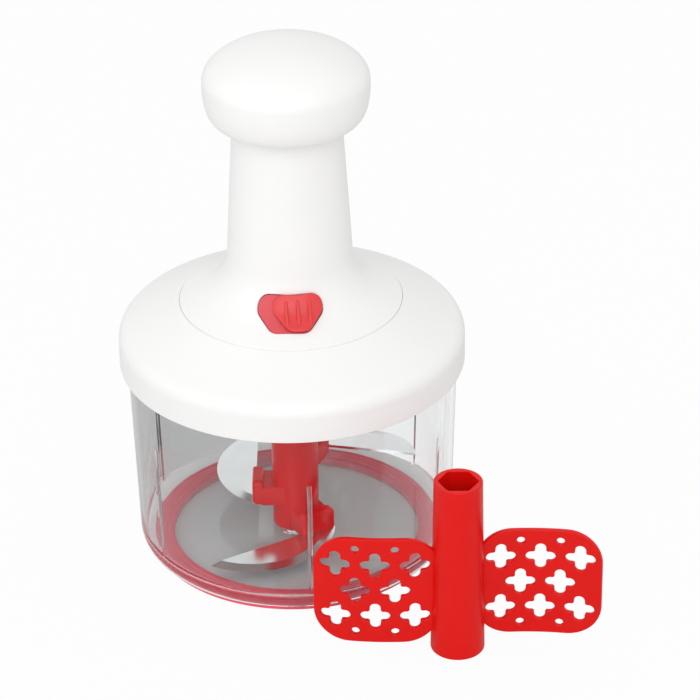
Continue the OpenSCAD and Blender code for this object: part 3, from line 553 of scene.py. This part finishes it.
# Lid seal and the drive under the tower: a grey silicone ring, pale acetal plates and bushes, turned steel
# screws and a bronze bearing. They sit inside the lid and show when it is lifted.
seal_rubber = moulded("Silicone rubber moulded grey", "#C9CBCB", "#BEC0C0", 0.5, 9, 0.6, 0.01)
acetal = moulded("Acetal moulded natural", "#E4E4DE", "#DADAD3", 0.38, 20, 0.8, 0.005)
bronze = metal("Bronze sintered", "#B99A5B", "#9E8148", 0.42, 0.4, 0.4, 0.01)
spring_wire = metal("Spring steel drawn", "#B4B6B8", "#93969A", 0.32, 6, 0.3, 0.003)
dress(seal_rubber, "lid_seal")
dress(acetal, "mechanism_plate", "clutch_cover", "guide_bush", "lock_latch")
dress(acetal, "drive_shaft", "pawl_hub", "thrust_washer")
dress(plated, "plate_screws", "cover_screws", "spindle", "drive_nut", "knob_screws")
dress(bronze, "shaft_bush")
dress(spring_wire, "return_spring")
dress(white_abs, "plunger_tube", "knob_carrier")

# Tower: a white ABS column that flares into a cone, screwed down on the lid by the plate inside it. A
# rounded window in its foot holds the lock.
tower_slope = np.radians(26)
tower_flare = 20.0
tower_wall = 2.4
col_r = 21.7
col_taper = np.radians(3.4)
col_top = tower_high[2]
knob_low, knob_high = corners("knob_cap")
knob_lip_z = knob_low[2]
col_bore = 19.9
foot_r, foot_w = tower_r - 0.02, 4.4
cone_n = np.array([np.sin(tower_slope), np.cos(tower_slope)])
cone_d = cone_n @ [tower_r, tower_z]
col_n = np.array([np.cos(col_taper), np.sin(col_taper)])
col_d = col_n @ [col_r, knob_lip_z]
bend = np.linalg.solve(np.stack([cone_n, col_n]), [cone_d, col_d])
cone_r = tower_r - 0.2
cone_foot = [cone_r, (cone_d - cone_n[0] * cone_r) / cone_n[1]]
col_head = [(col_d - col_n[1] * col_top) / col_n[0], col_top]
tower_line = spaced(rounded([cone_foot, bend, col_head], [0, tower_flare, 0], 64), 0.8)
way = np.concatenate([[0], np.cumsum(np.linalg.norm(np.diff(tower_line, axis=0), axis=1))])


def on_tower(turn, s, depth=0.0):
    """A point of the tower's face: s is the way up its outline from the foot, turn the angle about the
    axis, and depth how far inside the face. The normal is the outline's tangent turned outwards. More than
    1 mm inside, the point stays clear of the column's bore."""
    r, z = (np.interp(s, way, tower_line[:, k]) for k in (0, 1))
    slope = np.gradient(tower_line, way, axis=0)
    slope /= np.linalg.norm(slope, axis=1)[:, None]
    tr, tz = (np.interp(s, way, slope[:, k]) for k in (0, 1))
    r, z = r - depth * tz, z + depth * tr
    r = np.where(np.asarray(depth) > 1, np.maximum(r, col_bore), r)
    return np.stack(np.broadcast_arrays(r * np.cos(turn), r * np.sin(turn), z), -1)


lock_w, lock_h = 26.5, 16.0
lock_step, lattice_step = 0.8, 0.9
lock_lean = tower_slope + np.radians(21)
lock_foot = 37.6
lock_at = lock_foot - lock_h / 2 * np.cos(lock_lean)
lock_z = tower_z + (tower_r - lock_foot) * np.tan(tower_slope) + lock_h / 2 * np.sin(lock_lean)
lock_up = np.array([0, np.cos(lock_lean), np.sin(lock_lean)])
lock_out = np.array([0, -np.sin(lock_lean), np.cos(lock_lean)])


def lock_outline(width):
    """The lock's outline on its slope, counter-clockwise: widest above its middle, drawn in towards its foot,
    and with a dip in its top edge between two raised corners."""
    half, up = width / 2, lock_h / 2
    right = [[half - 5.95, -up], [half, 1.9], [half - 1.05, up + 0.9]]
    left = [[-x, y] for x, y in right[::-1]]
    return spaced_loop(rounded(right + [[0, up - 0.6]] + left, [4.5, 6, 4, 25, 4, 6, 4.5], 10), lock_step)


def to_face(flat):
    """Angle and way up the tower's outline where the line through (x, y) on the lock's slope, square to
    the slope, meets the tower's face: bisection on the line between 12 mm inside and outside."""
    base = np.array([0, -lock_at, lock_z]) + flat[..., :1] * [1, 0, 0] + flat[..., 1:2] * lock_up
    low = np.full(flat.shape[:-1], -12.0)
    high = -low
    for _ in range(40):
        middle = (low + high) / 2
        point = base + middle[..., None] * lock_out
        r = np.hypot(point[..., 0], point[..., 1])
        outside = r > np.interp(point[..., 2], tower_line[:, 1], tower_line[:, 0])
        low, high = np.where(outside, low, middle), np.where(outside, middle, high)
    point = base + low[..., None] * lock_out
    turn = np.arctan2(point[..., 1], point[..., 0])
    return turn, np.interp(point[..., 2], tower_line[:, 1], way)


# The face round the window is a patch of its own: the border of the grid's cells left out for it and the
# window's mouth are filled with triangles, flat on the patch's angle times its radius and its way up.
front = 1.5 * np.pi
patch_r = lock_at
patch_half, patch_margin = 36.1, 2.5
patch_turn = (fine_turn > np.radians(270 - patch_half)) & (fine_turn < np.radians(270 + patch_half))
patch_first, patch_last = np.flatnonzero(patch_turn)[[0, -1]]
window = drawn(lock_outline(lock_w), -fit)
_, window_s = to_face(window)
row_first = np.searchsorted(way, window_s.min() - patch_margin)
row_last = np.searchsorted(way, window_s.max() + patch_margin)
tower_parts = []
edge_round = 0.35
for depth in (0.0, tower_wall):
    grid = on_tower(fine_turn[:, None], way[None, :], depth)
    points, faces = skin(grid, ring=True)
    i, j = np.divmod(np.arange(len(faces)), len(way) - 1)
    hole = (i >= patch_first) & (i < patch_last) & (j >= row_first) & (j < row_last)
    tower_parts.append((points, faces[~hole]))
    border = np.concatenate([
        [[fine_turn[k], way[row_first]] for k in range(patch_first, patch_last)],
        [[fine_turn[patch_last], way[k]] for k in range(row_first, row_last)],
        [[fine_turn[k], way[row_last]] for k in range(patch_last, patch_first, -1)],
        [[fine_turn[patch_first], way[k]] for k in range(row_last, row_first, -1)],
    ]) - [front, 0]
    turn, s = to_face(drawn(window, -edge_round))
    mouth = np.stack([(turn - front + np.pi) % (2 * np.pi) - np.pi, s], -1)
    flat, triangles = filled([border * [patch_r, 1], mouth * [patch_r, 1]], lattice_step)
    tower_parts.append((on_tower(flat[:, 0] / patch_r + front, flat[:, 1], depth), triangles))
a = np.linspace(0, np.pi / 2, 5)
side_draw = np.concatenate([-edge_round * (1 - np.sin(a)), -edge_round * (1 - np.sin(a[::-1]))])
side_depth = np.concatenate([edge_round * (1 - np.cos(a)), tower_wall - edge_round * (1 - np.cos(a[::-1]))])
sides = []
for draw, depth in zip(side_draw, side_depth):
    turn, s = to_face(drawn(window, draw))
    sides.append(on_tower(turn, s, depth))
tower_parts.append(skin(np.stack(sides), loop=True))
foot_line = rounded(
    [cone_foot, [foot_r, tower_z - seam_d], [foot_r, flange_top], [tower_r - foot_w, flange_top], [0, 0]],
    [0, 0, 0, 0.4, 0], 4,
)[:-1]
inner_foot = on_tower(np.zeros(1), np.zeros(1), tower_wall)[:, [0, 2]]
tower_parts.append(skin(lathe(np.concatenate([foot_line, inner_foot]), fine_turn), ring=True))
head = on_tower(fine_turn[:, None], np.array([[way[-1]]]), np.array([[0.0, tower_wall]]))
tower_parts.append(skin(head, ring=True))
tower = piece("tower_shell", tower_parts)
tower.data.materials.append(white_abs)
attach(tower, "lid_unit")
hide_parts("tower")


# Lock frame: a red ABS plate that fills the tower's window a little below its face. Its colour is the
# plastic's red lightened to pink by painted sheen, the sky's reflection on its sloping face.
def on_lock(turned_by=0.0):
    """Carries (x, y, lift) on the lock's slope onto the tower's face, lifted off it, then turns it about
    the axis."""
    def put(flat):
        turn, s = to_face(flat)
        return on_tower(turn + turned_by, s, -flat[..., 2])
    return put


frame_recess, frame_gap = 0.4, 0.2
frame_thick = tower_wall - frame_recess
slot_half, slot_low, slot_high = 5.45, 0.4, 4.6
slot = spaced_loop(box_loop((-slot_half, slot_low), (slot_half, slot_high), 0.6), lock_step)[::-1]
lifted = on_lock()
lock_frame = piece("lock_frame_plate", plate(
    [drawn(lock_outline(lock_w), frame_gap), slot], frame_thick, edge=0.25, step=lattice_step,
    put=lambda p: lifted(p - [0, 0, frame_recess + frame_thick / 2]),
))
# Painted sheen: the pink of these two colours is the sky's reflection on the frame's slope, put into its red.
red_abs_with_painted_sheen = moulded("ABS moulded red with painted pink sheen", "#DE525B", "#D64A53", 0.42, 8, 0.5, 0.004)
lock_frame.data.materials.append(red_abs_with_painted_sheen)
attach(lock_frame, "lid_unit")
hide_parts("lock_frame")

# Lock slider: a red ABS pad with three grip ribs, moulded in one with a neck that runs through the frame.
# It slides round the tower's foot.
lock_travel = 6.7
slider_w = lock_w - lock_travel
slider_turn = np.arcsin(lock_travel / 2 / lock_at)
pad_low, pad_high = 0.3, 1.6
grip_w, grip_h, grip_long, grip_sunk = 0.7, 0.5, 5.0, 0.1
grip_gap = 4.5
neck_half, neck_low, neck_high = 1.5, 1.0, 4.0
slid = on_lock(slider_turn)
slider_parts = plate(
    [lock_outline(slider_w)], pad_high - pad_low, edge=0.55, step=lattice_step,
    put=lambda p: slid(p + [0, 0, (pad_low + pad_high) / 2]),
)
# A grip rib is a stack of long round-ended loops: at angle a its half-width is grip_w cos a and its height
# goes with sin a. A first loop of no width closes it below.
a = np.linspace(0, np.pi / 2, 7)
grip_half = grip_w * np.append(0, np.cos(a))[:, None]
grip_z = pad_high - grip_sunk + (grip_h + grip_sunk) * np.append(0, np.sin(a))[:, None]
turn = np.linspace(-np.pi / 2, 1.5 * np.pi, 41)[:-1]
end = np.where(np.cos(turn - np.pi / 2) > 0, 1, -1) * grip_long
for x in (-grip_gap, 0, grip_gap):
    loops = np.broadcast_arrays(x + grip_half * np.cos(turn), end + grip_half * np.sin(turn), grip_z)
    slider_parts.append(skin(slid(np.stack(loops, -1)), loop=True))
slider_parts += plate(
    [box_loop((-neck_half, neck_low), (neck_half, neck_high), 0.5)], tower_wall + 2 * pad_low,
    edge=0.1, step=2, put=lambda p: slid(p + [0, 0, pad_low - tower_wall / 2]),
)
slider = piece("lock_slider_pad", slider_parts)
gripped_abs = moulded("ABS moulded red with a soft sheen", "#E23A3C", "#DA3335", 0.33, 6, 0.5, 0.004)
slider.data.materials.append(gripped_abs)
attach(slider, "lock_unit")
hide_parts("lock_slider")

# Knob: a hollow mushroom of white ABS with a domed top, screwed to the plunger through the carrier in it.
knob_r = knob_high[0]
knob_side = 16.5
knob_z = knob_lip_z + knob_side
knob_dome = knob_high[2] - knob_z
knob_lip = 25.2
knob_wall = 2.2
side_power = 2.6


def knob_face(depth, n=48):
    """The knob's outline from its lip to its top: a superellipse of the side's power up to the widest line,
    then a quarter of an ellipse."""
    a = np.linspace(np.pi / 2, 0, n)[:-1]
    under = np.stack([
        knob_lip - depth + (knob_r - knob_lip) * np.cos(a) ** (2 / side_power),
        knob_z - (knob_z - knob_lip_z) * np.sin(a) ** (2 / side_power),
    ], -1)
    a = np.linspace(0, np.pi / 2, n)
    over = np.stack([(knob_r - depth) * np.cos(a), knob_z + (knob_dome - depth) * np.sin(a)], -1)
    return np.concatenate([under, over])


knob_line = np.concatenate([knob_face(knob_wall)[::-1], knob_face(0)])
knob = piece("knob_cap_shell", [skin(lathe(knob_line, fine_turn), ring=True)], sharp=50)
knob.data.materials.append(white_abs)
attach(knob, "knob_unit")
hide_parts("knob_cap")

# Mixing paddle: a red polypropylene tube with a six-sided socket and two bowed wings, moulded in one and
# pierced by plus-shaped and round holes. It takes the blades' place in the bowl.
paddle_at = np.array([64.5, -86.7, 0])
paddle_turn = np.radians(-1.8)
paddle_high = 76.9
paddle_top_r, paddle_foot_r = 9.6, 10.75
paddle_socket, paddle_web, paddle_round = 17.0, 1.0, 0.8
wing_reach, wing_high, wing_z = 56.6, 48.0, 28.6
wing_thick, wing_bow, wing_round, wing_root = 2.2, 3.9, 14.0, 7.0
bow_r = wing_reach**2 / 8 / wing_bow + wing_bow / 2
plus_x = np.array([16.8, 32.425, 48.05])
plus_rise, dot_rise = 11.75, 19.05
plus_reach, plus_half, plus_fillet = 5.9, 2.15, 0.9
plus_end = 0.98 * plus_half
dot_r = 1.65
between = (plus_x[1:] + plus_x[:-1]) / 2

# A plus with round ends has three corners for each arm, turned a quarter for the next.
arm = np.array([[plus_reach, -plus_half], [plus_reach, plus_half], [plus_half, plus_half]])
quarter = np.array([[0, 1], [-1, 0]])
plus = rounded(
    np.concatenate([arm @ np.linalg.matrix_power(quarter, k) for k in range(4)]),
    [plus_end, plus_end, plus_fillet] * 4, 6,
)[::-1]
a = np.radians(np.arange(0, -360, -15))
dot = dot_r * np.stack([np.cos(a), np.sin(a)], -1)
wing_loops = [spaced_loop(rounded(
    [[wing_root, wing_z - wing_high / 2], [wing_reach, wing_z - wing_high / 2],
     [wing_reach, wing_z + wing_high / 2], [wing_root, wing_z + wing_high / 2]], [wing_round] * 4, 14
), 2)]
wing_loops += [plus + [x, wing_z + side * plus_rise] for x in plus_x for side in (-1, 1)]
wing_loops += [plus + [x, wing_z] for x in between]
wing_loops += [dot + [x, wing_z + side * dot_rise] for x in between for side in (-1, 1)]


def bowed(angle):
    """Carries (x, height, lift) onto the wing's bow: with sin t = (x - reach / 2) / bow_r, the point lies
    bow_r + lift from the bow's centre at angle t."""
    def put(flat):
        t = np.arcsin((flat[..., 0] - wing_reach / 2) / bow_r)
        x = wing_reach / 2 + (bow_r + flat[..., 2]) * np.sin(t)
        y = wing_bow - bow_r + (bow_r + flat[..., 2]) * np.cos(t)
        return turned(np.stack([x, y, flat[..., 1]], -1), angle) + paddle_at
    return put


tube = socketed(
    0, paddle_high, paddle_foot_r, paddle_top_r, paddle_socket, hex_turns, paddle_round, bore_r,
    paddle_socket - paddle_web,
)
paddle_parts = [skin(turned(lathe(tube, hex_turns), paddle_turn) + paddle_at, ring=True)]
for angle in (paddle_turn, paddle_turn + np.pi):
    paddle_parts += plate(wing_loops, wing_thick, edge=0.5, step=1.6, put=bowed(angle))
paddle = piece("mixing_paddle_moulding", paddle_parts)
red_pp = moulded("Polypropylene moulded red", "#E4120C", "#DA0F0A", 0.33, 16, 0.8, 0.004, 0.2)
paddle.data.materials.append(red_pp)
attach(paddle, "paddle")
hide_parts("mixing_paddle")

# Floor: a white table top that runs out of view. The camera sees it almost plain white, with a trace of the
# part's shadow, and through the clear bowl more of that shadow shows.
table_half, table_sunk = 4, 0.0002
table = [(x * table_half, y * table_half, -table_sunk) for x, y in ((-1, -1), (1, -1), (1, 1), (-1, 1))]
floor_mesh = bpy.data.meshes.new("floor")
floor_mesh.from_pydata(table, [], [(0, 1, 2, 3)])
floor = bpy.data.objects.new("floor", floor_mesh)
bpy.context.scene.collection.objects.link(floor)
white_table, tree = material("Laminate matt white")
plain_seen, plain_through = 0.95, 0.02
lit = add(tree, "ShaderNodeBsdfDiffuse", {"Color": colour("#E4E4E4")})
plain = add(tree, "ShaderNodeEmission", {"Color": colour("#FFFFFF"), "Strength": 1.0})
path = add(tree, "ShaderNodeLightPath")
through = add(tree, "ShaderNodeMath", {
    0: path.outputs["Is Transmission Ray"], 1: plain_through,
}, operation="MULTIPLY")
share = add(tree, "ShaderNodeMath", {
    0: path.outputs["Is Camera Ray"], 1: plain_seen, 2: through.outputs["Value"],
}, operation="MULTIPLY_ADD")
mix = add(tree, "ShaderNodeMixShader", {
    0: share.outputs["Value"], 1: lit.outputs["BSDF"], 2: plain.outputs["Emission"],
})
add(tree, "ShaderNodeOutputMaterial", {"Surface": mix.outputs["Shader"]})
floor_mesh.materials.append(white_table)


# Cards: painted light and shade, laid on the table behind the bowl. The white card glows though it is no
# lamp, a painted light in place of the lit table, and the grey one is painted shade in place of the table's
# shadow behind the bowl's left side. They show only through the clear wall, and their edges fade into the
# table.
def eased(value, start, end):
    """0 before the start, 1 after the end, and between them t^2 (3 - 2 t), with t the share of the way."""
    t = np.clip((value - start) / (end - start), 0, 1)
    return t * t * (3 - 2 * t)


card_in, card_out = 70, 330
card_first, card_last = -60, 240
card_r = np.arange(card_in, card_out + 1, 10)
card_turn = np.radians(np.arange(card_first, card_last + 1, 2))
painted_light_cards = piece("painted_light_cards", [skin(lathe(np.stack([card_r, np.full(len(card_r), 0.2)], -1), card_turn))])
spots = np.empty(3 * len(painted_light_cards.data.vertices))
painted_light_cards.data.vertices.foreach_get("co", spots)
card_x, card_y = 1000 * spots.reshape(-1, 3).T[:2]
turn = (np.degrees(np.arctan2(card_y, card_x)) + 100) % 360 - 100
cover = eased(turn, card_first, card_first + 25) * (1 - eased(turn, card_last - 24, card_last))
cover *= 1 - eased(np.hypot(card_x, card_y), card_out - 95, card_out)
# Painted shade: from about 80 to 88 degrees the cards turn grey, standing in for the table's shadow behind
# and left of the bowl; the rest is white painted light.
grey = eased(turn, 80, 88)[:, None]
painted_tones = np.array(colour("#FFFFFF")) * (1 - grey) + np.array(colour("#BABABA")) * grey
painted_tones[:, 3] = cover
tones = painted_light_cards.data.color_attributes.new("painted_tones", "FLOAT_COLOR", "POINT")
tones.data.foreach_set("color", painted_tones.ravel())
card_painted_light, tree = material("Painted light and shade, glowing")
tone = add(tree, "ShaderNodeVertexColor", layer_name="painted_tones")
# The cards give off their tones: painted light and shade that no lamp casts.
glow = add(tree, "ShaderNodeEmission", {"Color": tone.outputs["Color"], "Strength": 1.0})
gone = add(tree, "ShaderNodeBsdfTransparent")
mix = add(tree, "ShaderNodeMixShader", {
    0: tone.outputs["Alpha"], 1: gone.outputs["BSDF"], 2: glow.outputs["Emission"],
})
add(tree, "ShaderNodeOutputMaterial", {"Surface": mix.outputs["Shader"]})
painted_light_cards.data.materials.append(card_painted_light)
painted_light_cards.visible_camera = painted_light_cards.visible_diffuse = painted_light_cards.visible_glossy = painted_light_cards.visible_shadow = False

# World: the white studio. The camera, mirrors and the clear wall see it plain white, and as a light on the
# part it is a little weaker.
studio_light = 0.78
world = bpy.data.worlds.new("White studio")
bpy.context.scene.world = world
world.use_nodes = True
tree = world.node_tree
tree.nodes.clear()
path = add(tree, "ShaderNodeLightPath")
seen = path.outputs["Is Camera Ray"]
for ray in ("Is Glossy Ray", "Is Transmission Ray"):
    either = add(tree, "ShaderNodeMath", {0: seen, 1: path.outputs[ray]}, operation="MAXIMUM")
    seen = either.outputs["Value"]
strength = add(tree, "ShaderNodeMapRange", {"Value": seen, "To Min": studio_light, "To Max": 1.0})
sky = add(tree, "ShaderNodeBackground", {"Color": colour("#FFFFFF"), "Strength": strength.outputs["Result"]})
add(tree, "ShaderNodeOutputWorld", {"Surface": sky.outputs["Background"]})

# Lamps: a large softbox high in front, a little to the right, and a weak one at the left. The right side
# stays a shade darker.
for name, spot, aim, size, power in (
    ("softbox_front", (0.05, -1.38, 1.2), (0, 0, 0.12), 1.3, 9.6),
    ("softbox_left", (-1.3, -0.6, 0.8), (0, 0, 0.15), 1.0, 2.8),
):
    lamp = bpy.data.lights.new(name, "AREA")
    lamp.shape = "SQUARE"
    lamp.size = size
    lamp.energy = power
    holder = bpy.data.objects.new(name, lamp)
    holder.location = spot
    holder.rotation_euler = (Vector(spot) - Vector(aim)).to_track_quat("Z", "Y").to_euler()
    bpy.context.scene.collection.objects.link(holder)

# Camera: at the photograph's viewing angle, about 30 degrees down from 1.4 m away.
camera = bpy.data.cameras.new("camera")
camera.sensor_fit = "HORIZONTAL"
camera.sensor_width = 36.0
camera.lens = 170.193
holder = bpy.data.objects.new("camera", camera)
tilt, roll = math.radians(90 - 29.654), math.radians(-0.81)
holder.matrix_world = (
    Matrix.Translation((0.02346, -1.170749, 0.752858))
    @ Matrix.Rotation(tilt, 4, "X")
    @ Matrix.Rotation(roll, 4, "Z")
)
bpy.context.scene.collection.objects.link(holder)
bpy.context.scene.camera = holder
bpy.context.scene.view_settings.view_transform = "Standard"
# Light that runs round inside the bowl's thick lower corner needs more turns than the usual four.
bpy.context.scene.cycles.max_bounces = 24
bpy.context.scene.cycles.glossy_bounces = 16
bpy.context.scene.cycles.transmission_bounces = 24
